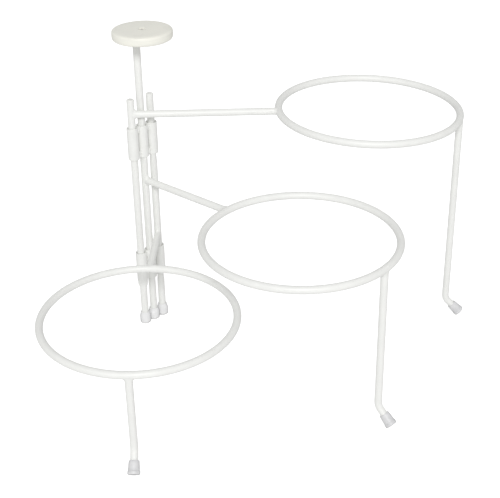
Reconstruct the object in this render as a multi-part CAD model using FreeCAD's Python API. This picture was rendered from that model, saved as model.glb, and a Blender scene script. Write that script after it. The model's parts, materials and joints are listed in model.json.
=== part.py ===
import FreeCAD, Part
import math
import os

# Three-tier swing-out cake stand in coated steel wire, in millimetres.
# Three upright posts stand in a row and turn in two blocks of sleeves. Each post carries one
# tier: an arm, a ring that holds a cake plate, and an outer leg. The middle post runs on up to
# a round topper disc.
# The origin is on the table, under the middle post. +Z is up, +Y runs along the row of posts
# from the top tier's post to the bottom tier's post, and the tiers fan out on the +X side.

# Wire and rings
WIRE_DIAMETER = 8.2          # posts and rings
LIMB_DIAMETER = 7.9          # arms and legs
WELD_FILLET = 3.0
COPING_LENGTH = 60.0         # stretch of post that an arm's end is coped to
POST_TOP_ROUNDING = 0.8

# Row of posts and their sleeves
POST_PITCH = 13.3
SLEEVE_DIAMETER = 12.6
SLEEVE_LENGTH = 37.0
SLEEVE_PLAY = 0.1            # between post and bore, each side
SLEEVE_MOUTH_WIDTH = 1.3     # chamfer at each end of the bore
SLEEVE_MOUTH_DEPTH = 3.0
SLEEVE_BOTTOM_Z = {"lower": 57.0, "upper": 211.0}
SLEEVE_WELD_WIDTH = 4.6
SLEEVE_WELD_INSET = 4.0      # from each end of the sleeves

# Stop crimp: the wire is pinched flat in the plane of its tier, just below a sleeve
FIRM_CRIMP = (11.4, 5.2)     # width and thickness
LIGHT_CRIMP = (9.2, 7.2)
CRIMP_LENGTH = 10.0
CRIMP_FLAT_SHARE = 0.3       # of its length, before it runs back into round wire
CRIMP_GAP = 0.4              # below the sleeve

# Each tier: place of its post in the row, reach of the ring's centre from the post, radius of
# the ring's centre line, height of the arm at the post, bearing of the arm from +X, downward
# slope of arm and ring, bearing of the leg round the ring from the arm's line, top of the post,
# and the crimps below its sleeves.
TIERS = {
    "top": dict(row=-1, reach=260.0, ring_radius=99.2, arm_z=263.8, bearing=51.0, slope=1.5,
                leg_turn=-13.0, post_top=281.0, crimps={"lower": FIRM_CRIMP}),
    "middle": dict(row=0, reach=223.0, ring_radius=100.0, arm_z=181.8, bearing=5.0, slope=0.0,
                   leg_turn=1.7, post_top=345.2, crimps={"lower": LIGHT_CRIMP, "upper": LIGHT_CRIMP}),
    "bottom": dict(row=1, reach=184.0, ring_radius=100.2, arm_z=109.0, bearing=-46.0, slope=0.0,
                   leg_turn=1.3, post_top=281.0, crimps={"lower": LIGHT_CRIMP, "upper": LIGHT_CRIMP}),
}

# Foot of each leg: the wire bends outward and ends in a cap
LEG_BEND_ANGLE = 45.0
LEG_BEND_RADIUS = 12.0
LEG_BEND_Z = 26.2            # where the bend starts
LEG_TOE_LENGTH = 17.6        # straight wire after the bend, most of it inside the cap
LEG_CAP_LENGTH = 14.0
LEG_CAP_MOUTH_DIAMETER = 10.6
LEG_CAP_END_DIAMETER = 12.4
LEG_CAP_RIM = 2.8            # height of the rim round the closed end
LEG_CAP_RIM_STEP = 0.35
LEG_CAP_FLOOR = 2.0          # vinyl beyond the end of the wire

# Foot cap under each post
POST_CAP_HEIGHT = 14.5
POST_CAP_MOUTH_DIAMETER = 10.8
POST_CAP_END_DIAMETER = 12.9
POST_CAP_SHOULDER_Z = 9.5    # where the bell reaches its full width
POST_CAP_FLOOR = 2.5
CAP_ROUNDING = 1.2

# Topper disc, the tab on the post that it sits on, and its screw
DISC_DIAMETER = 64.6
DISC_THICKNESS = 10.6
DISC_ROUNDING = 2.0
DISC_OFFSET = 9.9            # of its axis from the post's
DISC_BEARING = 7.0           # and the bearing of that offset from +X
TAB_THICKNESS = 2.0
TAB_WIDTH = 14.0
SCREW_DIAMETER = 3.0
SCREW_HEAD_DIAMETER = 6.0
SCREW_HEAD_HEIGHT = 2.4
SCREW_HEAD_ROUNDING = 0.8
SCREW_RECESS = 0.3           # depth of the head below the disc's face
SCREW_RECESS_PLAY = 0.6      # round the head
SCREW_SLOT_WIDTH = 1.1
SCREW_SLOT_DEPTH = 1.0
SCREW_TAIL = 1.5             # below the tab

TOUCHING = 1e-4
Z_AXIS = FreeCAD.Vector(0, 0, 1)


def polar(radius, bearing, z=0.0):
    """Vector at a radius and a bearing in degrees from +X."""
    angle = math.radians(bearing)
    return FreeCAD.Vector(radius * math.cos(angle), radius * math.sin(angle), z)


def lathe(points):
    """Solid of revolution about Z from a closed outline of (radius, z) points."""
    corners = [FreeCAD.Vector(radius, 0, z) for radius, z in points]
    outline = Part.makePolygon(corners + corners[:1])
    return Part.Face(outline).revolve(FreeCAD.Vector(), Z_AXIS, 360)


def round_rims(solid, radius, levels):
    """Round the circular edges that lie at the given heights."""
    rims = [edge for edge in solid.Edges if edge.Closed
            and any(abs(edge.BoundBox.ZMin - z) + abs(edge.BoundBox.ZMax - z) < TOUCHING for z in levels)]
    return solid.makeFillet(radius, rims)


def lies_on(point, solid):
    """Whether a point is on a solid's surface."""
    return min(face.distToShape(point)[0] for face in solid.Faces) < TOUCHING


def weld(limb, base):
    """The limb with its end coped to the base and a weld fillet run round the joint."""
    joined = limb.fuse(base)
    seams = []
    for edge in joined.Edges:
        middle = Part.Vertex(edge.valueAt((edge.FirstParameter + edge.LastParameter) / 2))
        if lies_on(middle, limb) and lies_on(middle, base):
            seams.append(edge)
    return joined.makeFillet(WELD_FILLET, seams).cut(base)


def post_foot(tier):
    """Where a tier's post stands on the table."""
    return FreeCAD.Vector(0, tier["row"] * POST_PITCH, 0)


def arm_line(tier):
    """Point where the arm's line meets the post's axis, and the arm's direction."""
    slope = math.radians(tier["slope"])
    start = post_foot(tier) + Z_AXIS * tier["arm_z"]
    return start, polar(math.cos(slope), tier["bearing"], -math.sin(slope))


def ring_plane(tier):
    """Centre of a tier's ring, and the upward normal of its plane."""
    start, direction = arm_line(tier)
    return start + direction * tier["reach"], direction.cross(polar(1, tier["bearing"] + 90))


def leg_line(tier):
    """Point on the ring's centre line where the leg joins, and the way its foot points."""
    centre, normal = ring_plane(tier)
    outward = polar(1, tier["bearing"] + tier["leg_turn"])
    along = outward - Z_AXIS * (outward.dot(normal) / normal.z)
    return centre + along.normalize() * tier["ring_radius"], outward


def make_crimp(tier, level):
    """Flattened stretch of post below a sleeve."""
    top = SLEEVE_BOTTOM_Z[level] - CRIMP_GAP
    width, thickness = tier["crimps"][level]
    sections = []
    for share in (0, CRIMP_FLAT_SHARE):
        centre = FreeCAD.Vector(0, 0, top - share * CRIMP_LENGTH)
        oval = Part.Ellipse(centre + FreeCAD.Vector(width / 2, 0, 0),
                            centre + FreeCAD.Vector(0, thickness / 2, 0), centre)
        sections.append(Part.Wire(oval.toShape()))
    bottom = FreeCAD.Vector(0, 0, top - CRIMP_LENGTH)
    sections.append(Part.Wire(Part.Circle(bottom, Z_AXIS, WIRE_DIAMETER / 2).toShape()))
    solid = Part.makeLoft(sections, True)
    solid.rotate(FreeCAD.Vector(), Z_AXIS, tier["bearing"])
    solid.translate(post_foot(tier))
    return solid


def make_post(tier):
    """Upright post, with its stop crimps."""
    foot = post_foot(tier) + Z_AXIS * POST_CAP_FLOOR
    post = Part.makeCylinder(WIRE_DIAMETER / 2, tier["post_top"] - POST_CAP_FLOOR, foot)
    if tier["row"] != 0:
        post = round_rims(post, POST_TOP_ROUNDING, [tier["post_top"]])
    for level in tier["crimps"]:
        bottom = SLEEVE_BOTTOM_Z[level] - CRIMP_GAP - CRIMP_LENGTH
        stretch = Part.makeCylinder(WIRE_DIAMETER, CRIMP_LENGTH, post_foot(tier) + Z_AXIS * bottom)
        post = post.cut(stretch).fuse(make_crimp(tier, level))
    return post


def make_ring(tier):
    """Closed ring of round wire."""
    centre, normal = ring_plane(tier)
    return Part.makeTorus(tier["ring_radius"], WIRE_DIAMETER / 2, centre, normal)


def make_arm(tier):
    """Arm from the post to the near side of the ring, welded at both ends."""
    start, direction = arm_line(tier)
    post = Part.makeCylinder(WIRE_DIAMETER / 2, COPING_LENGTH, start - Z_AXIS * (COPING_LENGTH / 2))
    arm = Part.makeCylinder(LIMB_DIAMETER / 2, tier["reach"] - tier["ring_radius"], start, direction)
    return weld(weld(arm, post), make_ring(tier))


def leg_wire(top, outward):
    """Leg from the ring's centre line down to its bent-out toe."""
    angle = math.radians(LEG_BEND_ANGLE)
    bend_start = FreeCAD.Vector(top.x, top.y, LEG_BEND_Z)
    centre = bend_start + outward * LEG_BEND_RADIUS
    halfway = centre - (outward * math.cos(angle / 2) + Z_AXIS * math.sin(angle / 2)) * LEG_BEND_RADIUS
    bend_end = centre - (outward * math.cos(angle) + Z_AXIS * math.sin(angle)) * LEG_BEND_RADIUS
    toe = outward * math.sin(angle) - Z_AXIS * math.cos(angle)
    end = bend_end + toe * LEG_TOE_LENGTH
    path = Part.Wire([Part.LineSegment(top, bend_start).toShape(),
                      Part.Arc(bend_start, halfway, bend_end).toShape(),
                      Part.LineSegment(bend_end, end).toShape()])
    section = Part.Wire(Part.Circle(top, Z_AXIS, LIMB_DIAMETER / 2).toShape())
    return path.makePipeShell([section], True, True), end, toe


def make_leg(tier):
    """Outer leg, welded under the far side of the ring."""
    top, outward = leg_line(tier)
    wire, _, _ = leg_wire(top, outward)
    return weld(wire, make_ring(tier))


def above_table(solid):
    """The part of a solid that is not below the table's surface."""
    box = solid.BoundBox
    table = Part.makeBox(box.XLength, box.YLength, box.ZLength,
                         FreeCAD.Vector(box.XMin, box.YMin, -box.ZLength))
    return solid.cut(table)


def make_leg_foot(tier):
    """Vinyl cap pushed on to a leg's toe, flattened where it rests on the table."""
    wire, end, toe = leg_wire(*leg_line(tier))
    mouth = LEG_CAP_MOUTH_DIAMETER / 2
    rim = LEG_CAP_END_DIAMETER / 2
    cap = lathe([(0, 0), (rim, 0), (rim, LEG_CAP_RIM), (rim - LEG_CAP_RIM_STEP, LEG_CAP_RIM),
                 (mouth, LEG_CAP_LENGTH), (0, LEG_CAP_LENGTH)])
    cap = round_rims(cap, CAP_ROUNDING, [0, LEG_CAP_LENGTH])
    cap.Placement = FreeCAD.Placement(end + toe * LEG_CAP_FLOOR, FreeCAD.Rotation(Z_AXIS, toe * -1))
    return above_table(cap.cut(wire))


def make_post_foot(tier):
    """Bell-shaped vinyl cap under a post."""
    mouth = POST_CAP_MOUTH_DIAMETER / 2
    bell = POST_CAP_END_DIAMETER / 2
    cap = lathe([(0, 0), (bell, 0), (bell, POST_CAP_SHOULDER_Z),
                 (mouth, POST_CAP_HEIGHT), (0, POST_CAP_HEIGHT)])
    cap = round_rims(cap, CAP_ROUNDING, [0, POST_CAP_SHOULDER_Z, POST_CAP_HEIGHT])
    cap.translate(post_foot(tier))
    post = Part.makeCylinder(WIRE_DIAMETER / 2, POST_CAP_HEIGHT, post_foot(tier) + Z_AXIS * POST_CAP_FLOOR)
    return cap.cut(post)


def make_sleeve(tier, level):
    """Sleeve that a post turns in. The middle one carries the welds to its neighbours."""
    outer = SLEEVE_DIAMETER / 2
    bore = WIRE_DIAMETER / 2 + SLEEVE_PLAY
    mouth = bore + SLEEVE_MOUTH_WIDTH
    sleeve = lathe([(outer, 0), (outer, SLEEVE_LENGTH), (mouth, SLEEVE_LENGTH),
                    (bore, SLEEVE_LENGTH - SLEEVE_MOUTH_DEPTH), (bore, SLEEVE_MOUTH_DEPTH), (mouth, 0)])
    if tier["row"] == 0:
        height = SLEEVE_LENGTH - 2 * SLEEVE_WELD_INSET
        corner = FreeCAD.Vector(-SLEEVE_WELD_WIDTH / 2, -POST_PITCH, SLEEVE_WELD_INSET)
        bridge = Part.makeBox(SLEEVE_WELD_WIDTH, 2 * POST_PITCH, height, corner)
        for y in (-POST_PITCH, 0, POST_PITCH):
            bridge = bridge.cut(Part.makeCylinder(outer, SLEEVE_LENGTH, FreeCAD.Vector(0, y, 0)))
        sleeve = sleeve.fuse(bridge)
    sleeve.translate(post_foot(tier) + Z_AXIS * SLEEVE_BOTTOM_Z[level])
    return sleeve


def disc_centre(z):
    """Point on the topper disc's axis."""
    return post_foot(TIERS["middle"]) + polar(DISC_OFFSET, DISC_BEARING, z)


def make_screw():
    """Slotted round-head screw that holds the disc down on its tab."""
    disc_top = TIERS["middle"]["post_top"] + TAB_THICKNESS + DISC_THICKNESS
    head_top = disc_top - SCREW_RECESS
    head_bottom = head_top - SCREW_HEAD_HEIGHT
    tail = TIERS["middle"]["post_top"] - SCREW_TAIL
    head = Part.makeCylinder(SCREW_HEAD_DIAMETER / 2, SCREW_HEAD_HEIGHT, disc_centre(head_bottom))
    head = round_rims(head, SCREW_HEAD_ROUNDING, [head_top])
    slot = Part.makeBox(SCREW_HEAD_DIAMETER, SCREW_SLOT_WIDTH, SCREW_SLOT_DEPTH,
                        disc_centre(head_top - SCREW_SLOT_DEPTH)
                        - FreeCAD.Vector(SCREW_HEAD_DIAMETER / 2, SCREW_SLOT_WIDTH / 2, 0))
    shank = Part.makeCylinder(SCREW_DIAMETER / 2, head_bottom - tail, disc_centre(tail))
    return head.cut(slot).fuse(shank)


def make_disc():
    """Round topper disc, with a recess for the screw's head."""
    bottom = TIERS["middle"]["post_top"] + TAB_THICKNESS
    top = bottom + DISC_THICKNESS
    disc = Part.makeCylinder(DISC_DIAMETER / 2, DISC_THICKNESS, disc_centre(bottom))
    disc = round_rims(disc, DISC_ROUNDING, [bottom, top])
    depth = SCREW_RECESS + SCREW_HEAD_HEIGHT
    recess = Part.makeCylinder(SCREW_HEAD_DIAMETER / 2 + SCREW_RECESS_PLAY, depth, disc_centre(top - depth))
    hole = Part.makeCylinder(SCREW_DIAMETER / 2, DISC_THICKNESS, disc_centre(bottom))
    return disc.cut(recess).cut(hole)


def make_tab():
    """Flat tab welded across the top of the middle post."""
    z = TIERS["middle"]["post_top"]
    plate = Part.makeBox(DISC_OFFSET, TAB_WIDTH, TAB_THICKNESS, FreeCAD.Vector(0, -TAB_WIDTH / 2, 0))
    plate.rotate(FreeCAD.Vector(), Z_AXIS, DISC_BEARING)
    plate.translate(FreeCAD.Vector(0, 0, z))
    for centre in (FreeCAD.Vector(0, 0, z), disc_centre(z)):
        plate = plate.fuse(Part.makeCylinder(TAB_WIDTH / 2, TAB_THICKNESS, centre))
    hole = Part.makeCylinder(SCREW_DIAMETER / 2, TAB_THICKNESS, disc_centre(z))
    return plate.removeSplitter().cut(hole)


def make_parts():
    """Every node of the stand, by name."""
    parts = {}
    for name, tier in TIERS.items():
        parts[name + "_post"] = make_post(tier)
        parts[name + "_arm"] = make_arm(tier)
        parts[name + "_ring"] = make_ring(tier)
        parts[name + "_leg"] = make_leg(tier)
        parts[name + "_post_foot"] = make_post_foot(tier)
        parts[name + "_leg_foot"] = make_leg_foot(tier)
        for level in SLEEVE_BOTTOM_Z:
            parts[name + "_post_" + level + "_sleeve"] = make_sleeve(tier, level)
    parts["topper_disc"] = make_disc()
    parts["topper_tab"] = make_tab()
    parts["topper_screw"] = make_screw()
    return parts


os.makedirs("parts", exist_ok=True)
for node, shape in make_parts().items():
    print("%-32s solids %d, valid %s, %9.1f mm3" % (node, len(shape.Solids), shape.isValid(), shape.Volume))
    shape.exportStep("parts/" + node + ".step")
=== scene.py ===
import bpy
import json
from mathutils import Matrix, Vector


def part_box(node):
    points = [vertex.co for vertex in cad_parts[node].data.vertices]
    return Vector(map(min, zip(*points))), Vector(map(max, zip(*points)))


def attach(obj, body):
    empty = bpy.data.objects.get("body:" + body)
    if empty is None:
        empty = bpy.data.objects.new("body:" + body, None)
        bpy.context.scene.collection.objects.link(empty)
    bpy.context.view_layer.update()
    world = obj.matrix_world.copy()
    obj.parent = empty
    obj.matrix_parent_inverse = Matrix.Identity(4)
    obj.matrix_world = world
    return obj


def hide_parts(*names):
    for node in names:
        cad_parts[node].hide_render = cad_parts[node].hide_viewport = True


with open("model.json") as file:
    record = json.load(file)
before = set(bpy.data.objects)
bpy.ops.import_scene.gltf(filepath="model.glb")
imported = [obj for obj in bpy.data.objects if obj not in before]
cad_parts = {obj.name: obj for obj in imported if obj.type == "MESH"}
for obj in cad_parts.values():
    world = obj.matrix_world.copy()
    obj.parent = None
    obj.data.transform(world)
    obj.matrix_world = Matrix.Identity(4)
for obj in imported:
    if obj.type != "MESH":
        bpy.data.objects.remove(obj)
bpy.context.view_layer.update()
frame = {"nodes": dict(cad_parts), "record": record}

import json
import math

import bpy
from mathutils import Matrix, Vector

# Looks of a three-tier swing-out cake stand: coated steel wire, vinyl foot caps and a moulded
# topper disc. Lengths are in metres, in the frame's own axes: +Z up, +Y along the row of posts.

MM = 0.001
TOUCHING = 1e-6              # points nearer than this are one point
TIERS = ("top", "middle", "bottom")
LEVELS = ("lower", "upper")
RECORD = frame["record"]

# Wire: radii under the coating
POST_RADIUS = 4.1 * MM
LIMB_RADIUS = 3.95 * MM      # arms and legs
WIRE_SIDES = 48
RING_STEPS = 180
BEND_STEPS = 12
WELD_SPREAD = 2.7 * MM       # how far the weld runs out round the end of an arm or a leg
WELD_LENGTH = 3.4 * MM       # and along it
WELD_BITE = 0.25 * MM        # how deep a welded end sinks into what it is welded to
WELD_TUCK = 0.2 * MM         # how much its sides narrow there, to stay within that wire

# Pinch in a post that holds the sleeves up
FIRM_PINCH = (5.7 * MM, 2.6 * MM)      # half width and half thickness
LIGHT_PINCH = (4.6 * MM, 3.6 * MM)
PINCH_FLAT = 3.0 * MM
PINCH_RUNOUT = 7.0 * MM
PINCH_GAP = 0.4 * MM
PINCHES = {"top": {"lower": FIRM_PINCH}, "middle": {"lower": LIGHT_PINCH, "upper": LIGHT_PINCH},
           "bottom": {"lower": LIGHT_PINCH, "upper": LIGHT_PINCH}}

SLEEVE_SHIFT = (-0.42 * MM, 0.33 * MM, 0)    # of each whole sleeve off its post's axis: a fault, should be 0

# Stitch welds in the valleys between sleeves
STITCH_LENGTH = 7.5 * MM
STITCH_WIDTH = 1.35 * MM     # half of it
STITCH_RIPPLES = 4
STITCH_SETBACK = 2.05 * MM   # of its middle from the plane of the row
STITCH_MARGINS = (0.6 * MM, 0.4 * MM)    # from the sleeves' lower and upper ends
STITCH_TURN = 0.9            # radians between beads, so that no two look alike

# Topper
TAB_HALF_WIDTH = 7.0 * MM
TAB_EDGE = 0.5 * MM
DISC_TOP_EDGE = ((9.0, 0), (5.5, 0.05), (3.2, 0.2), (1.5, 0.6), (0.5, 1.3), (0.08, 2.3))  # inset, drop in mm
DISC_BOTTOM_EDGE = ((5.5, 0), (3.4, 0.12), (1.6, 0.55), (0.5, 1.4), (0.08, 2.6))          # inset, rise in mm
SCREW_HEAD_HEIGHT = 2.4      # in mm, like the pitch
SCREW_PITCH = 0.5
SCREW_SLOT = (8 * MM, 0.6 * MM, 1.4 * MM)
SCREW_SLOT_BEARING = -0.85   # radians from +X

# Studio: strengths and places of the lights
ROOM_LIGHT = 0.58
FLOOR_SIZE = 12.0
FLOOR_GLOW = 0.62
LIT_POINT = (0.1, 0.05, 0.15)
FRONT_PLACE = (3.25, -3.1, 3.38)
FRONT_SIZE = 1.1
FRONT_POWER = 134.0
SIDE_PLACE = (2.0, 0.2, 1.2)
SIDE_SIZE = 1.2
SIDE_POWER = 0.4

# Camera: heading from +X, pitch below the level, roll about its own axis
CAMERA_PLACE = (0.89106, -0.68969, 0.70527)
CAMERA_HEADING = math.radians(136.34)
CAMERA_PITCH = math.radians(28.741)
CAMERA_ROLL = math.radians(-0.987)
CAMERA_LENS = 79.17          # in mm
CAMERA_SENSOR = 36.0         # in mm

# Bent-out foot of each leg
LEG_BEND = math.radians(45)
LEG_BEND_RADIUS = 12.0 * MM
LEG_BEND_Z = 26.2 * MM
LEG_TOE = 17.6 * MM
LEG_CAP_FLOOR = 2.0 * MM


def axis_of(node):
    """X and Y of the middle of a node's box."""
    low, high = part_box(node)
    return (low.x + high.x) / 2, (low.y + high.y) / 2


def mount(name):
    """Place and direction of one of the record's mounts."""
    found = next(m for m in RECORD["mounts"] if m["name"] == name)
    return Vector(found["pos_m"]), Vector(found["axis"])


LEVEL_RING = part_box("middle_ring")
RING_WIRE_RADIUS = (LEVEL_RING[1].z - LEVEL_RING[0].z) / 2


class Tier:
    """Where one tier's post, arm, ring and leg lie, read from the frame."""

    def __init__(self, name):
        self.name = name
        self.body = name + "_tier"
        self.post = Vector((*axis_of(name + "_post_foot"), 0))
        seat, self.normal = mount(name + "_plate_seat")
        self.centre = seat - self.normal * RING_WIRE_RADIUS
        reach = self.centre - self.post
        self.bearing = math.atan2(reach.y, reach.x)
        level = Vector((math.cos(self.bearing), math.sin(self.bearing), 0))
        self.along = (level - self.normal * level.dot(self.normal)).normalized()
        self.arm_start = self.centre - self.along * (Vector((reach.x, reach.y)).length / self.along.dot(level))
        foot = Vector((*axis_of(name + "_leg_foot"), 0)) - self.centre
        self.leg_bearing = math.atan2(foot.y, foot.x)
        outward = Vector((math.cos(self.leg_bearing), math.sin(self.leg_bearing), 0))
        out = (outward - Vector((0, 0, 1)) * (outward.dot(self.normal) / self.normal.z)).normalized()
        low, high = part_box(name + "_ring")
        self.ring_radius = ((high.x - low.x) / 2 - RING_WIRE_RADIUS) / math.sqrt(1 - self.normal.x ** 2)
        self.leg_top = self.centre + out * self.ring_radius


# ---------------------------------------------------------------- making pieces

def begin():
    """Object mode with nothing selected, ready for a new primitive."""
    if bpy.context.object and bpy.context.object.mode != "OBJECT":
        bpy.ops.object.mode_set(mode="OBJECT")
    bpy.ops.object.select_all(action="DESELECT")


def ring_of_points(sides, wide, deep, height):
    """Open oval in edit mode, all selected."""
    begin()
    bpy.ops.mesh.primitive_circle_add(vertices=sides, radius=wide, location=(0, 0, height), enter_editmode=True)
    bpy.ops.transform.resize(value=(1, deep / wide, 1), center_override=(0, 0, height))


def draw_on(sections):
    """Extrude the selected oval through (height, half-width in X, half-width in Y) sections."""
    for (z0, wide0, deep0), (z1, wide1, deep1) in zip(sections, sections[1:]):
        bpy.ops.mesh.extrude_region_move(TRANSFORM_OT_translate={"value": (0, 0, z1 - z0)})
        bpy.ops.transform.resize(value=(wide1 / wide0, deep1 / deep0, 1), center_override=(0, 0, z1))


def drawn(sections, sides=WIRE_SIDES):
    """Wire or tube drawn along Z through oval sections; its ends stay open."""
    ring_of_points(sides, sections[0][1], sections[0][2], sections[0][0])
    draw_on(sections)
    return bpy.context.object


def turned(outline, sides=32):
    """Piece turned about Z along a closed or a two-ended (radius, height) outline."""
    piece = drawn([(height, radius, radius) for radius, height in outline], sides)
    bpy.ops.mesh.select_all(action="SELECT")
    bpy.ops.mesh.remove_doubles(threshold=TOUCHING)
    close_ends()
    return piece


def close_ends():
    """Fill what is still open and turn all faces outwards, still in edit mode."""
    bpy.ops.mesh.select_all(action="SELECT")
    bpy.ops.mesh.fill_holes(sides=0)
    bpy.ops.mesh.select_all(action="SELECT")
    bpy.ops.mesh.normals_make_consistent(inside=False)


def leave_edit():
    """Back to object mode, with the primitive's own place put into the mesh."""
    bpy.ops.object.mode_set(mode="OBJECT")
    bpy.ops.object.transform_apply(location=True, rotation=True, scale=True)


def apply_modifier(piece, kind, **settings):
    """Add one modifier with its settings and apply it."""
    begin()
    bpy.context.view_layer.objects.active = piece
    piece.select_set(True)
    modifier = piece.modifiers.new(kind.lower(), kind)
    for key, value in settings.items():
        setattr(modifier, key, value)
    bpy.ops.object.modifier_apply(modifier=modifier.name)


def subdivide_smooth(piece, levels=2):
    """Round a piece off by subdividing it."""
    apply_modifier(piece, "SUBSURF", levels=levels, render_levels=levels)


def place(piece, matrix):
    """Turn and move a piece to its place and put that place in its mesh."""
    begin()
    bpy.context.view_layer.objects.active = piece
    piece.select_set(True)
    piece.matrix_world = matrix
    bpy.ops.object.transform_apply(location=True, rotation=True, scale=True)


def hand_over(piece, name, material, body, *nodes, angle=math.radians(40)):
    """Name a finished piece, shade and paint it, and let it ride and stand for its nodes."""
    begin()
    bpy.context.view_layer.objects.active = piece
    piece.select_set(True)
    bpy.ops.object.shade_smooth_by_angle(angle=angle)
    piece.name = name
    piece.data.name = name
    piece.data.materials.clear()
    piece.data.materials.append(material)
    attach(piece, body)
    if nodes:
        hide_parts(*nodes)
    return piece


def standing(point, bearing=0.0):
    """Matrix that stands a piece on a point, turned to a bearing."""
    return Matrix.Translation(point) @ Matrix.Rotation(bearing, 4, "Z")


def lying(point, direction, up):
    """Matrix that points a piece's Z along a direction and its X as near as it can to up."""
    z = Vector(direction).normalized()
    x = (Vector(up) - z * z.dot(Vector(up))).normalized()
    y = z.cross(x)
    turn = Matrix((x, y, z)).transposed().to_4x4()
    return Matrix.Translation(point) @ turn


# ---------------------------------------------------------------- materials

def new_group(name, inputs, outputs):
    """Shader node group with float inputs {name: default} and float outputs."""
    group = bpy.data.node_groups.new(name, "ShaderNodeTree")
    for key, value in inputs.items():
        socket = group.interface.new_socket(key, in_out="INPUT", socket_type="NodeSocketFloat")
        socket.default_value = value
    for key in outputs:
        group.interface.new_socket(key, in_out="OUTPUT", socket_type="NodeSocketFloat")
    return group, group.nodes.new("NodeGroupInput"), group.nodes.new("NodeGroupOutput")


def math_node(tree, operation, first, second=None, third=None):
    """Math node on sockets or plain numbers; gives its result socket."""
    node = tree.nodes.new("ShaderNodeMath")
    node.operation = operation
    for socket, value in zip(node.inputs, (first, second, third)):
        if isinstance(value, bpy.types.NodeSocket):
            tree.links.new(value, socket)
        elif value is not None:
            socket.default_value = value
    return node.outputs[0]


def smooth_step(tree, value, low, high):
    """0 below low, 1 above high, smooth between."""
    node = tree.nodes.new("ShaderNodeMapRange")
    node.interpolation_type = "SMOOTHSTEP"
    for key, given in (("Value", value), ("From Min", low), ("From Max", high)):
        if isinstance(given, bpy.types.NodeSocket):
            tree.links.new(given, node.inputs[key])
        else:
            node.inputs[key].default_value = given
    return node.outputs["Result"]


def noise(tree, scale, detail=2.0, stretch=(1, 1, 1), offset=(0, 0, 0), distortion=0.0):
    """Noise on Object coordinates, stretched and shifted by a Mapping node."""
    where = tree.nodes.new("ShaderNodeTexCoord")
    mapping = tree.nodes.new("ShaderNodeMapping")
    mapping.inputs["Scale"].default_value = stretch
    mapping.inputs["Location"].default_value = offset
    texture = tree.nodes.new("ShaderNodeTexNoise")
    texture.inputs["Detail"].default_value = detail
    texture.inputs["Distortion"].default_value = distortion
    if isinstance(scale, bpy.types.NodeSocket):
        tree.links.new(scale, texture.inputs["Scale"])
    else:
        texture.inputs["Scale"].default_value = scale
    tree.links.new(where.outputs["Object"], mapping.inputs["Vector"])
    tree.links.new(mapping.outputs["Vector"], texture.inputs["Vector"])
    return texture.outputs["Fac"]


def make_orange_peel():
    """Skin of a sprayed or dipped coating: soft dimples on long sags."""
    tree, given, out = new_group("orange_peel", {"Dimples": 700.0, "Sags": 60.0}, ("Height", "Mottle"))
    dimples = noise(tree, given.outputs["Dimples"], detail=1.5)
    sags = noise(tree, given.outputs["Sags"], detail=2.0, offset=(3, 1, 2))
    height = math_node(tree, "MULTIPLY_ADD", sags, 0.8, dimples)
    tree.links.new(height, out.inputs["Height"])
    tree.links.new(sags, out.inputs["Mottle"])
    return tree


def make_dust_nibs():
    """Grains caught in the coating: sparse small bumps."""
    tree, given, out = new_group("dust_nibs", {"Spacing": 260.0, "Size": 0.12}, ("Nibs",))
    where = tree.nodes.new("ShaderNodeTexCoord")
    cells = tree.nodes.new("ShaderNodeTexVoronoi")
    tree.links.new(where.outputs["Object"], cells.inputs["Vector"])
    tree.links.new(given.outputs["Spacing"], cells.inputs["Scale"])
    picked = smooth_step(tree, noise(tree, 90.0, detail=0.0, offset=(7, 5, 1)), 0.58, 0.62)
    near = math_node(tree, "SUBTRACT", given.outputs["Size"], cells.outputs["Distance"])
    dots = smooth_step(tree, near, 0.0, given.outputs["Size"])
    tree.links.new(math_node(tree, "MULTIPLY", dots, picked), out.inputs["Nibs"])
    return tree


def make_rub_marks():
    """Places rubbed by hands and plates: patches crossed by fine hairlines."""
    tree, given, out = new_group("rub_marks", {"Amount": 0.5}, ("Rubbed",))
    patches = smooth_step(tree, noise(tree, 38.0, detail=3.0, offset=(2, 9, 4)), 0.55, 0.72)
    hairs = smooth_step(tree, noise(tree, 240.0, detail=2.0, stretch=(1, 4.5, 0.8), distortion=0.6), 0.60, 0.70)
    both = math_node(tree, "MULTIPLY", patches, math_node(tree, "MULTIPLY_ADD", hairs, 0.7, 0.3))
    tree.links.new(math_node(tree, "MULTIPLY", both, given.outputs["Amount"]), out.inputs["Rubbed"])
    return tree


def make_darkening_near_floor():
    """Darker grey near the floor: strongest at the bottom, gone a little way up."""
    tree, given, out = new_group("darkening_near_floor", {"Height": 0.008}, ("Darkening",))
    where = tree.nodes.new("ShaderNodeTexCoord")
    parts = tree.nodes.new("ShaderNodeSeparateXYZ")
    tree.links.new(where.outputs["Object"], parts.inputs["Vector"])
    ragged = math_node(tree, "MULTIPLY_ADD", noise(tree, 300.0, detail=3.0), 0.004, parts.outputs["Z"])
    above = smooth_step(tree, ragged, 0.001, given.outputs["Height"])
    tree.links.new(math_node(tree, "SUBTRACT", 1.0, above), out.inputs["Darkening"])
    return tree


def placed(tree, group, **values):
    """A group put into a material, with its own values."""
    node = tree.nodes.new("ShaderNodeGroup")
    node.node_tree = group
    for key, value in values.items():
        node.inputs[key].default_value = value
    return node


def blended(tree, mask, first, second):
    """Colour that goes from first to second as the mask goes from 0 to 1."""
    mix = tree.nodes.new("ShaderNodeMix")
    mix.data_type = "RGBA"
    colours = [socket for socket in mix.inputs if socket.type == "RGBA"]
    tree.links.new(mask, mix.inputs["Factor"])
    for socket, value in zip(colours, (first, second)):
        if isinstance(value, bpy.types.NodeSocket):
            tree.links.new(value, socket)
        else:
            socket.default_value = (*value, 1)
    return next(socket for socket in mix.outputs if socket.type == "RGBA")


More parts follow.
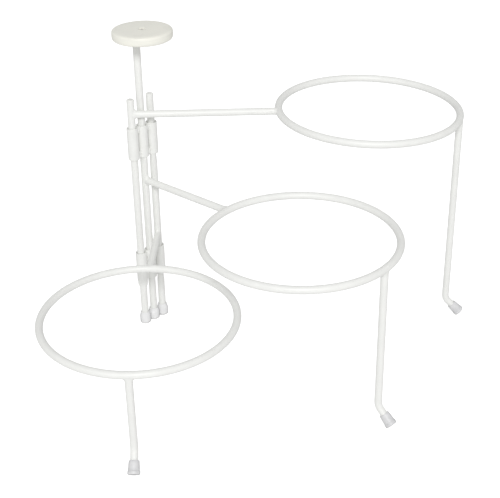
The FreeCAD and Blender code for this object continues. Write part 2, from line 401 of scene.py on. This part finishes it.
def new_material(name):
    """Material with a bare Principled shader; gives the material, its tree and the shader."""
    material = bpy.data.materials.new(name)
    material.use_nodes = True
    return material, material.node_tree, material.node_tree.nodes["Principled BSDF"]


def bump_from(tree, shader, height, distance):
    """Bump of a real depth in metres from a height socket."""
    bump = tree.nodes.new("ShaderNodeBump")
    bump.inputs["Distance"].default_value = distance
    bump.inputs["Strength"].default_value = 1.0
    tree.links.new(height, bump.inputs["Height"])
    tree.links.new(bump.outputs["Normal"], shader.inputs["Normal"])


def make_coated_steel(groups):
    """White powder coat over steel wire."""
    material, tree, shader = new_material("white_powder_coat")
    skin = placed(tree, groups["orange_peel"], Dimples=520.0, Sags=75.0)
    nibs = placed(tree, groups["dust_nibs"], Spacing=230.0, Size=0.11)
    rubs = placed(tree, groups["rub_marks"], Amount=0.35)
    mottle = smooth_step(tree, skin.outputs["Mottle"], 0.3, 0.7)
    colour = blended(tree, mottle, (0.848, 0.852, 0.828), (0.868, 0.872, 0.848))
    colour = blended(tree, rubs.outputs["Rubbed"], colour, (0.72, 0.72, 0.71))
    tree.links.new(colour, shader.inputs["Base Color"])
    rough = math_node(tree, "MULTIPLY_ADD", mottle, 0.08, 0.42)
    rough = math_node(tree, "MULTIPLY_ADD", rubs.outputs["Rubbed"], 0.18, rough)
    tree.links.new(rough, shader.inputs["Roughness"])
    shader.inputs["Coat Weight"].default_value = 0.12
    shader.inputs["Coat Roughness"].default_value = 0.3
    height = math_node(tree, "MULTIPLY_ADD", nibs.outputs["Nibs"], 0.7, skin.outputs["Height"])
    bump_from(tree, shader, height, 0.00016)
    return material


def make_vinyl(groups, name, dull, clean):
    """Soft vinyl of foot caps between a dull and a clean tone, with painted shade: greyer where it is seen at a
    grazing angle.
    """
    material, tree, shader = new_material(name)
    skin = placed(tree, groups["orange_peel"], Dimples=900.0, Sags=140.0)
    low_darkening = placed(tree, groups["darkening_near_floor"], Height=0.006)
    rubs = placed(tree, groups["rub_marks"], Amount=0.9)
    mottle = smooth_step(tree, skin.outputs["Mottle"], 0.3, 0.7)
    colour = blended(tree, mottle, dull, clean)
    colour = blended(tree, rubs.outputs["Rubbed"], colour, (0.60, 0.60, 0.60))
    # Painted shade: the base colour turns grey where the surface is seen at a grazing angle.
    slant = tree.nodes.new("ShaderNodeLayerWeight")
    slant.inputs["Blend"].default_value = 0.5
    painted_edge_shade = smooth_step(tree, slant.outputs["Facing"], 0.35, 0.95)
    colour = blended(tree, painted_edge_shade, colour, (0.50, 0.50, 0.51))
    # Darker towards the floor, within a few millimetres of the bottom.
    colour = blended(tree, math_node(tree, "MULTIPLY", low_darkening.outputs["Darkening"], 0.55), colour, (0.42, 0.41, 0.39))
    tree.links.new(colour, shader.inputs["Base Color"])
    rough = math_node(tree, "MULTIPLY_ADD", mottle, 0.10, 0.36)
    rough = math_node(tree, "MULTIPLY_ADD", low_darkening.outputs["Darkening"], 0.2, rough)
    tree.links.new(rough, shader.inputs["Roughness"])
    shader.inputs["Subsurface Weight"].default_value = 0.08
    shader.inputs["Subsurface Radius"].default_value = (0.004, 0.004, 0.004)
    bump_from(tree, shader, skin.outputs["Height"], 0.00010)
    return material


def make_disc_plastic(groups):
    """Off-white moulded plastic with faint flow lines round its rim."""
    material, tree, shader = new_material("topper_moulding")
    skin = placed(tree, groups["orange_peel"], Dimples=1100.0, Sags=45.0)
    rubs = placed(tree, groups["rub_marks"], Amount=0.8)
    flow = smooth_step(tree, noise(tree, 26.0, detail=4.0, stretch=(1, 1, 26)), 0.35, 0.7)
    colour = blended(tree, flow, (0.905, 0.895, 0.815), (0.87, 0.865, 0.795))
    colour = blended(tree, rubs.outputs["Rubbed"], colour, (0.74, 0.73, 0.67))
    tree.links.new(colour, shader.inputs["Base Color"])
    rough = math_node(tree, "MULTIPLY_ADD", flow, 0.10, 0.38)
    rough = math_node(tree, "MULTIPLY_ADD", rubs.outputs["Rubbed"], 0.12, rough)
    tree.links.new(rough, shader.inputs["Roughness"])
    height = math_node(tree, "MULTIPLY_ADD", flow, 0.6, skin.outputs["Height"])
    bump_from(tree, shader, height, 0.00009)
    return material


def make_zinc(groups):
    """Zinc-plated steel of the screw, with drawn scratches."""
    material, tree, shader = new_material("zinc_plate")
    rubs = placed(tree, groups["rub_marks"], Amount=1.0)
    crystals = noise(tree, 1500.0, detail=4.0)
    scratches = noise(tree, 700.0, detail=3.0, stretch=(1, 9, 1))
    tone = smooth_step(tree, crystals, 0.3, 0.7)
    colour = blended(tree, tone, (0.80, 0.79, 0.74), (0.90, 0.885, 0.83))
    tree.links.new(colour, shader.inputs["Base Color"])
    shader.inputs["Metallic"].default_value = 1.0
    rough = math_node(tree, "MULTIPLY_ADD", rubs.outputs["Rubbed"], 0.2, 0.42)
    rough = math_node(tree, "MULTIPLY_ADD", tone, 0.10, rough)
    tree.links.new(rough, shader.inputs["Roughness"])
    bump_from(tree, shader, scratches, 0.00006)
    return material


GROUPS = {group.name: group for group in
          (make_orange_peel(), make_dust_nibs(), make_rub_marks(), make_darkening_near_floor())}
COATING = make_coated_steel(GROUPS)
VINYL = make_vinyl(GROUPS, "foot_vinyl", (0.82, 0.82, 0.825), (0.865, 0.865, 0.866))
# Greyer copy of the same vinyl, used for the leg caps.
GREYER_VINYL = make_vinyl(GROUPS, "greyer_foot_vinyl", (0.66, 0.66, 0.67), (0.74, 0.74, 0.745))
DISC_PLASTIC = make_disc_plastic(GROUPS)
ZINC = make_zinc(GROUPS)


# ---------------------------------------------------------------- wire pieces

def make_post(tier):
    """Post, pinched flat in its tier's plane below the sleeves it holds up."""
    low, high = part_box(tier.name + "_post")
    sections = [(low.z, POST_RADIUS, POST_RADIUS)]
    for level, (wide, thin) in PINCHES[tier.name].items():
        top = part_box(tier.name + "_post_" + level + "_sleeve")[0].z - PINCH_GAP
        flat = top - PINCH_FLAT
        for share in (1, 0.85, 0.65, 0.45, 0.25, 0.1, 0):
            pinch = 0.5 + 0.5 * math.cos(math.pi * share)
            sections.append((flat - PINCH_RUNOUT * share,
                             POST_RADIUS + (wide - POST_RADIUS) * pinch,
                             POST_RADIUS + (thin - POST_RADIUS) * pinch))
        sections.append((top, wide, thin))
        sections.append((top + 0.3 * MM, POST_RADIUS, POST_RADIUS))
    for rise, drop in ((1.2, 0), (0.8, 0.04), (0.35, 0.25), (0.1, 0.6), (0, 1.1)):
        sections.append((high.z - rise * MM, POST_RADIUS - drop * MM, POST_RADIUS - drop * MM))
    piece = drawn(sections)
    close_ends()
    leave_edit()
    place(piece, standing(tier.post, tier.bearing))
    return hand_over(piece, tier.name + "_post_wire", COATING, tier.body, tier.name + "_post")


def make_ring(tier):
    """Ring of round wire, spun and closed on itself."""
    begin()
    bpy.ops.mesh.primitive_circle_add(vertices=WIRE_SIDES, radius=RING_WIRE_RADIUS,
                                      location=(tier.ring_radius, 0, 0), rotation=(math.pi / 2, 0, 0),
                                      enter_editmode=True)
    bpy.ops.mesh.spin(steps=RING_STEPS, angle=2 * math.pi, center=(0, 0, 0), axis=(0, 0, 1))
    bpy.ops.mesh.select_all(action="SELECT")
    bpy.ops.mesh.remove_doubles(threshold=TOUCHING)
    bpy.ops.mesh.normals_make_consistent(inside=False)
    leave_edit()
    piece = bpy.context.object
    place(piece, lying(tier.centre, tier.normal, tier.along))
    return hand_over(piece, tier.name + "_ring_wire", COATING, tier.body, tier.name + "_ring")


WELD_STEPS = (1, 0.82, 0.62, 0.42, 0.22, 0)


def weld_flare(start, radius, sign, wide_in_x):
    """Sections of an end that runs out into its weld along one axis, from start inwards."""
    sections = []
    for share in WELD_STEPS:
        spread = WELD_SPREAD * (1 - math.sqrt(1 - share * share)) if share < 1 else WELD_SPREAD
        wide, slender = radius + spread, radius - WELD_TUCK * share
        z = start + sign * WELD_LENGTH * (1 - share)
        sections.append((z, wide, slender) if wide_in_x else (z, slender, wide))
    return sections


def sink_end(piece, local_z, target, axis_positive):
    """Press one end of a welded wire on to what it is welded to."""
    group = piece.vertex_groups.new(name="end")
    chosen = [vertex.index for vertex in piece.data.vertices if abs(vertex.co.z - local_z) < TOUCHING]
    group.add(chosen, 1.0, "REPLACE")
    apply_modifier(piece, "SHRINKWRAP", wrap_method="PROJECT", use_project_z=True, vertex_group=group.name,
                   use_positive_direction=axis_positive, use_negative_direction=not axis_positive,
                   target=target, offset=-WELD_BITE)
    piece.vertex_groups.clear()


def make_arm(tier):
    """Arm from post to ring, its ends run out into their welds."""
    far = (tier.centre - tier.arm_start).length - tier.ring_radius - RING_WIRE_RADIUS
    near = POST_RADIUS
    sections = weld_flare(near, LIMB_RADIUS, 1, True)
    sections += list(reversed(weld_flare(far, LIMB_RADIUS, -1, False)))
    piece = drawn(sections)
    close_ends()
    leave_edit()
    piece.matrix_world = lying(tier.arm_start, tier.along, tier.normal)
    sink_end(piece, near, frame["nodes"][tier.name + "_post"], False)
    sink_end(piece, far, frame["nodes"][tier.name + "_ring"], True)
    place(piece, lying(tier.arm_start, tier.along, tier.normal))
    return hand_over(piece, tier.name + "_arm_wire", COATING, tier.body, tier.name + "_arm")


def make_leg(tier):
    """Leg welded under the ring, bent outwards at its foot."""
    top = tier.leg_top.z - RING_WIRE_RADIUS
    sections = weld_flare(top, LIMB_RADIUS, -1, False) + [(LEG_BEND_Z, LIMB_RADIUS, LIMB_RADIUS)]
    piece = drawn(sections)
    bpy.ops.mesh.spin(steps=BEND_STEPS, angle=LEG_BEND, center=(LEG_BEND_RADIUS, 0, LEG_BEND_Z), axis=(0, 1, 0))
    toe = Vector((math.sin(LEG_BEND), 0, -math.cos(LEG_BEND)))
    bpy.ops.mesh.extrude_region_move(TRANSFORM_OT_translate={"value": toe * LEG_TOE})
    close_ends()
    leave_edit()
    where = standing(Vector((tier.leg_top.x, tier.leg_top.y, 0)), tier.leg_bearing)
    piece.matrix_world = where
    sink_end(piece, top, frame["nodes"][tier.name + "_ring"], True)
    place(piece, where)
    return hand_over(piece, tier.name + "_leg_wire", COATING, tier.body, tier.name + "_leg")


# ---------------------------------------------------------------- caps, sleeves and topper

def make_post_cap(tier):
    """Bell-shaped vinyl cap pushed up on a post."""
    outline = [(1.5, 0), (4.6, 0), (5.9, 0.15), (6.35, 0.9), (6.45, 2.4), (6.45, 6.2), (6.42, 8.6), (6.15, 10.2),
               (5.65, 11.6), (5.42, 12.8), (5.35, 13.9), (5.15, 14.4), (4.75, 14.5), (4.3, 14.3), (4.08, 13.6),
               (4.05, 10.0), (4.05, 2.9), (3.9, 2.5), (1.5, 2.5)]
    piece = turned([(radius * MM, height * MM) for radius, height in outline])
    leave_edit()
    subdivide_smooth(piece)
    place(piece, standing(tier.post))
    return hand_over(piece, tier.name + "_post_cap", VINYL, tier.body, tier.name + "_post_foot")


def make_leg_cap(tier):
    """Vinyl cap on a leg's toe, pressed flat where it stands on the table."""
    outline = [(1.5, 0), (4.6, 0), (5.8, 0.1), (6.22, 0.55), (6.28, 1.3), (6.28, 3.55), (6.2, 3.8), (5.86, 3.95),
               (5.82, 4.3), (5.7, 7.5), (5.5, 10.7), (5.34, 12.8), (5.2, 13.6), (4.8, 13.95), (4.3, 13.8),
               (4.02, 13.1), (3.98, 9.0), (3.98, 2.5), (3.7, 2.0), (1.5, 2.0)]
    piece = turned([(radius * MM, height * MM) for radius, height in outline])
    leave_edit()
    subdivide_smooth(piece)
    outward = Vector((math.cos(tier.leg_bearing), math.sin(tier.leg_bearing), 0))
    down = Vector((0, 0, -1))
    toe = outward * math.sin(LEG_BEND) + down * math.cos(LEG_BEND)
    bend_end = (Vector((tier.leg_top.x, tier.leg_top.y, LEG_BEND_Z))
                + outward * LEG_BEND_RADIUS * (1 - math.cos(LEG_BEND)) + down * LEG_BEND_RADIUS * math.sin(LEG_BEND))
    place(piece, lying(bend_end + toe * (LEG_TOE + LEG_CAP_FLOOR), -toe, outward))
    bpy.ops.object.mode_set(mode="EDIT")
    bpy.ops.mesh.select_all(action="SELECT")
    bpy.ops.mesh.bisect(plane_co=(0, 0, 0), plane_no=(0, 0, 1), clear_inner=True, use_fill=True)
    leave_edit()
    return hand_over(piece, tier.name + "_leg_cap", GREYER_VINYL, tier.body, tier.name + "_leg_foot")


def make_sleeve(tier, level):
    """Sleeve with rolled mouths that a post turns in."""
    node = tier.name + "_post_" + level + "_sleeve"
    low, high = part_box(node)
    length = (high.z - low.z) / MM
    lip = [(6.3, 3.0), (6.3, 0.75), (6.2, 0.14), (5.85, 0), (5.35, 0.08), (4.95, 0.5), (4.5, 1.6), (4.22, 2.8)]
    outline = [(radius, height) for radius, height in lip]
    outline += [(radius, length - height) for radius, height in reversed(lip)]
    outline.append(outline[0])
    piece = turned([(radius * MM, low.z + height * MM) for radius, height in outline])
    bpy.ops.mesh.select_all(action="SELECT")
    bpy.ops.transform.translate(value=SLEEVE_SHIFT)
    leave_edit()
    subdivide_smooth(piece)
    place(piece, standing(tier.post))
    return hand_over(piece, tier.name + "_" + level + "_sleeve", COATING, "sleeve_blocks", node)


def make_stitch():
    """One short weld bead along Z, rippled and drawn to a point at both ends."""
    steps = 6 * STITCH_RIPPLES
    sections = []
    for step in range(steps + 1):
        share = step / steps
        swell = math.sqrt(max(0.02, 1 - (2 * share - 1) ** 4))
        ripple = 1 + 0.09 * math.cos(2 * math.pi * STITCH_RIPPLES * share)
        sections.append((STITCH_LENGTH * share, STITCH_WIDTH * swell * ripple, STITCH_WIDTH * swell * ripple))
    piece = drawn(sections, 20)
    close_ends()
    leave_edit()
    lumps = bpy.data.textures.new("weld_lumps", "CLOUDS")
    lumps.noise_scale = 2.2 * MM
    apply_modifier(piece, "DISPLACE", texture=lumps, texture_coords="LOCAL", strength=0.5 * MM, mid_level=0.5)
    return piece


def copied(piece):
    """Copy of a piece with its own mesh."""
    copy = piece.copy()
    copy.data = piece.data.copy()
    bpy.context.scene.collection.objects.link(copy)
    return copy


def joined(pieces):
    """Several pieces joined into one."""
    begin()
    for piece in pieces:
        piece.select_set(True)
    bpy.context.view_layer.objects.active = pieces[0]
    bpy.ops.object.join()
    return pieces[0]


def make_block_welds(level):
    """Stitch welds that hold one block of sleeves together, front and back, top and bottom."""
    low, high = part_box("middle_post_" + level + "_sleeve")
    row = [Vector((*axis_of(name + "_post_foot"), 0)) for name in TIERS]
    stitch = make_stitch()
    beads = []
    for first, second in zip(row, row[1:]):
        valley = (first + second) / 2
        for side in (-1, 1):
            for z in (low.z + STITCH_MARGINS[0], high.z - STITCH_LENGTH - STITCH_MARGINS[1]):
                bead = copied(stitch)
                place(bead, standing(valley + Vector((side * STITCH_SETBACK, 0, z)), STITCH_TURN * len(beads)))
                beads.append(bead)
    bpy.data.objects.remove(stitch)
    return hand_over(joined(beads), level + "_block_welds", COATING, "sleeve_blocks")


def make_disc():
    """Moulded disc with soft edges and a recess for the screw's head."""
    low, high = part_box("topper_disc")
    radius = (high.x - low.x) / 2 / MM
    thick = (high.z - low.z) / MM
    outline = [(1.7, 0), (radius - 14, 0)]
    outline += [(radius - inset, rise) for inset, rise in DISC_BOTTOM_EDGE]
    outline += [(radius - inset, thick - drop) for inset, drop in reversed(DISC_TOP_EDGE)]
    outline += [(9.0, thick), (4.0, thick), (3.5, thick - 0.1), (3.3, thick - 0.4), (3.3, thick - 2.3),
                (3.2, thick - 2.6), (1.8, thick - 2.7), (1.7, thick - 2.8), (1.7, 0)]
    piece = turned([(r * MM, low.z + height * MM) for r, height in outline], 64)
    leave_edit()
    subdivide_smooth(piece, 1)
    place(piece, standing(Vector((*axis_of("topper_disc"), 0))))
    return hand_over(piece, "topper_round_disc", DISC_PLASTIC, "middle_tier", "topper_disc")


def make_tab():
    """Round flat tab under the disc. It is shorter than the CAD tab, which also covers the post's top."""
    low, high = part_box("topper_tab")
    post = Vector((*axis_of("middle_post_foot"), 0))
    reach = Vector((*axis_of("topper_disc"), 0)) - post
    ring_of_points(WIRE_SIDES, TAB_HALF_WIDTH, TAB_HALF_WIDTH, low.z)
    piece = bpy.context.object
    bpy.ops.mesh.select_all(action="SELECT")
    bpy.ops.transform.translate(value=(reach.length, 0, 0))
    bpy.ops.mesh.edge_face_add()
    bpy.ops.mesh.extrude_region_move(TRANSFORM_OT_translate={"value": (0, 0, high.z - low.z)})
    close_ends()
    leave_edit()
    apply_modifier(piece, "BEVEL", width=TAB_EDGE, segments=3, limit_method="ANGLE")
    place(piece, standing(post, math.atan2(reach.y, reach.x)))
    return hand_over(piece, "topper_flat_tab", COATING, "middle_tier", "topper_tab")


def make_tab_weld():
    """Weld collar run round the top of the middle post under the tab."""
    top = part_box("topper_tab")[0].z
    collar = [(3.9, -2.6), (4.25, -2.3), (4.5, -1.6), (5.0, -0.9), (5.7, -0.45), (6.3, -0.2), (6.2, 0.3), (3.9, 0.3)]
    collar.append(collar[0])
    piece = turned([(radius * MM, top + height * MM) for radius, height in collar], 40)
    leave_edit()
    subdivide_smooth(piece, 1)
    place(piece, standing(Vector((*axis_of("middle_post_foot"), 0))))
    return hand_over(piece, "topper_tab_weld", COATING, "middle_tier")


def make_screw():
    """Slotted screw: domed head, threaded tail below the tab."""
    low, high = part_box("topper_screw")
    length = (high.z - low.z) / MM
    head = length - SCREW_HEAD_HEIGHT
    shank = (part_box("topper_tab")[0].z - low.z) / MM
    outline = [(0.7, 0), (1.05, 0.12)]
    for turn in range(int(shank / SCREW_PITCH)):
        outline += [(1.2, 0.3 + SCREW_PITCH * turn), (1.5, 0.55 + SCREW_PITCH * turn)]
    outline += [(1.5, shank + 0.5), (1.5, head), (2.7, head), (3.0, head + 0.15), (3.0, head + 0.6),
                (2.85, head + 1.1), (2.45, head + 1.6), (1.75, head + 2.05), (0.95, head + 2.32),
                (0.3, length)]
    piece = turned([(radius * MM, low.z + height * MM) for radius, height in outline], 40)
    leave_edit()
    place(piece, standing(Vector((*axis_of("topper_screw"), 0)), 0.5))
    begin()
    bpy.ops.mesh.primitive_cube_add(size=1, location=(*axis_of("topper_screw"), high.z),
                                    rotation=(0, 0, SCREW_SLOT_BEARING))
    cutter = bpy.context.object
    cutter.scale = SCREW_SLOT
    apply_modifier(piece, "BOOLEAN", operation="DIFFERENCE", object=cutter, solver="EXACT")
    bpy.data.objects.remove(cutter)
    return hand_over(piece, "topper_slotted_screw", ZINC, "middle_tier", "topper_screw", angle=math.radians(30))


def make_stand():
    """Every piece of the stand: the tiers with their sleeves, the block welds, then the topper."""
    for name in TIERS:
        tier = Tier(name)
        make_arm(tier)
        make_leg(tier)
        make_ring(tier)
        make_post(tier)
        make_post_cap(tier)
        make_leg_cap(tier)
        for level in LEVELS:
            make_sleeve(tier, level)
    for level in LEVELS:
        make_block_welds(level)
    make_disc()
    make_tab()
    make_tab_weld()
    make_screw()


# ---------------------------------------------------------------- studio

def shown_white(tree, lit, strength):
    """Adds a plain white glow that only the camera sees to a shader or a background."""
    path = tree.nodes.new("ShaderNodeLightPath")
    glow = tree.nodes.new("ShaderNodeEmission")
    tree.links.new(math_node(tree, "MULTIPLY", path.outputs["Is Camera Ray"], strength), glow.inputs["Strength"])
    both = tree.nodes.new("ShaderNodeAddShader")
    tree.links.new(lit, both.inputs[0])
    tree.links.new(glow.outputs[0], both.inputs[1])
    return both.outputs[0]


def make_floor():
    """Plain white floor that runs out past the view."""
    begin()
    bpy.ops.mesh.primitive_plane_add(size=FLOOR_SIZE, location=(0, 0, 0))
    floor = bpy.context.object
    floor.name = "studio_floor"
    material, tree, shader = new_material("studio_white")
    shader.inputs["Base Color"].default_value = (0.85, 0.85, 0.85, 1)
    shader.inputs["Roughness"].default_value = 0.9
    shader.inputs["Specular IOR Level"].default_value = 0.0
    tree.links.new(shown_white(tree, shader.outputs[0], FLOOR_GLOW), tree.nodes["Material Output"].inputs["Surface"])
    floor.data.materials.append(material)


def add_light(name, place_at, size, power):
    """Square soft box that faces the stand."""
    light = bpy.data.lights.new(name, "AREA")
    light.size = size
    light.energy = power
    holder = bpy.data.objects.new(name, light)
    bpy.context.scene.collection.objects.link(holder)
    holder.location = place_at
    holder.rotation_euler = (Vector(LIT_POINT) - Vector(place_at)).to_track_quat("-Z", "Y").to_euler()


def make_lights():
    """Even white room, a far soft box high up in front and a faint one at the side."""
    world = bpy.data.worlds.new("studio")
    world.use_nodes = True
    tree = world.node_tree
    room = tree.nodes["Background"]
    room.inputs["Color"].default_value = (1, 1, 1, 1)
    room.inputs["Strength"].default_value = ROOM_LIGHT
    tree.links.new(shown_white(tree, room.outputs[0], 1 - ROOM_LIGHT), tree.nodes["World Output"].inputs["Surface"])
    bpy.context.scene.world = world
    add_light("front_soft_box", FRONT_PLACE, FRONT_SIZE, FRONT_POWER)
    add_light("side_soft_box", SIDE_PLACE, SIDE_SIZE, SIDE_POWER)


def make_camera():
    """Camera in front of the fanned-out tiers, a little above them."""
    camera = bpy.data.cameras.new("camera")
    camera.sensor_width = CAMERA_SENSOR
    camera.lens = CAMERA_LENS
    holder = bpy.data.objects.new("camera", camera)
    bpy.context.scene.collection.objects.link(holder)
    turn = (Matrix.Rotation(CAMERA_HEADING - math.pi / 2, 4, "Z")
            @ Matrix.Rotation(math.pi / 2 - CAMERA_PITCH, 4, "X") @ Matrix.Rotation(CAMERA_ROLL, 4, "Z"))
    holder.matrix_world = Matrix.Translation(CAMERA_PLACE) @ turn
    bpy.context.scene.camera = holder


make_stand()
make_floor()
make_lights()
make_camera()
bpy.context.scene.view_settings.view_transform = "Standard"
